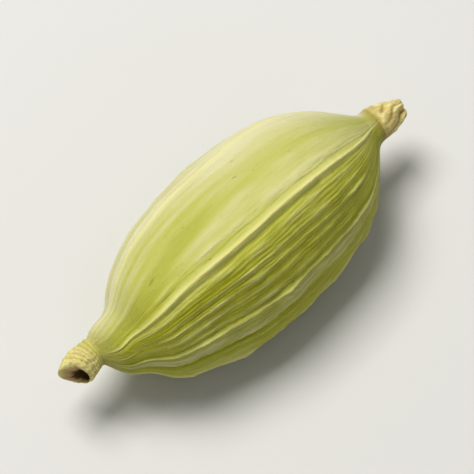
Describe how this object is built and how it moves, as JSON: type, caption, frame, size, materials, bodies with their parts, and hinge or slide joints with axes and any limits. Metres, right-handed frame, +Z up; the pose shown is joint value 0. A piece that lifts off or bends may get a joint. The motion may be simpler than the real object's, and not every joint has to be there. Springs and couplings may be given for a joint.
{
  "type": "green cardamom pod",
  "caption": "Whole dried green cardamom pod: a plump three-sided ribbed husk, with the stub of its stalk and the dry remains of its flower.",
  "frame": {"origin": "on the resting surface, below the middle of the pod's outline", "axes": "+X along the pod from the stalk end to the flower end, +Z up away from the surface that it lies on"},
  "size_m": [0.0195, 0.0083, 0.0074],
  "materials": {
    "husk": "matte",
    "stalk": "matte",
    "dry_flower": "matte"
  },
  "bodies": {
    "root": {"husk": "husk", "stem_stub": "stalk", "flower_remnant": "dry_flower"}
  },
  "joints": []
}
